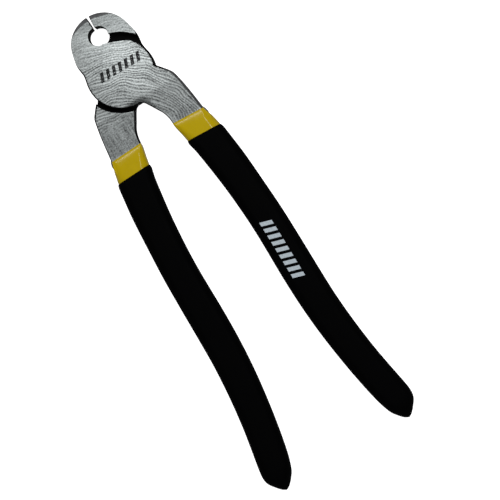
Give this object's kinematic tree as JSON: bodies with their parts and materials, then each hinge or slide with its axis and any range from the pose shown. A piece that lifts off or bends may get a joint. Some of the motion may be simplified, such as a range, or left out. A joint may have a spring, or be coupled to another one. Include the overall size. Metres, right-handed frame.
{
  "type": "lap-joint cutting pliers with ring jaws",
  "caption": "Lap-joint steel pliers with rounded jaws that close round a small eye, ground flat faces, and long bowed handles dipped in yellow then black vinyl.",
  "frame": {"origin": "on the pivot's axis, in the plane of the back face", "axes": "+Y from the pivot to the jaws, +X to the front half's handle, +Z along the pivot out of the front face"},
  "size_m": [0.0698, 0.2059, 0.01],
  "materials": {
    "ground_steel": "belt ground, oiled",
    "rivet_steel": "ground flush with the faces",
    "yellow_vinyl": "glossy dip",
    "black_vinyl": "matt dip"
  },
  "bodies": {
    "back": {"back_half": "ground_steel", "pivot_rivet": "rivet_steel", "back_yellow_dip": "yellow_vinyl", "back_black_grip": "black_vinyl"},
    "front": {"front_half": "ground_steel", "front_yellow_dip": "yellow_vinyl", "front_black_grip": "black_vinyl"}
  },
  "joints": [
    {"name": "pivot", "type": "hinge", "parent": "back", "child": "front", "pos_m": [0, 0, 0.005], "axis": [0, 0, 1], "range_deg": [-2.4, 50]}
  ]
}
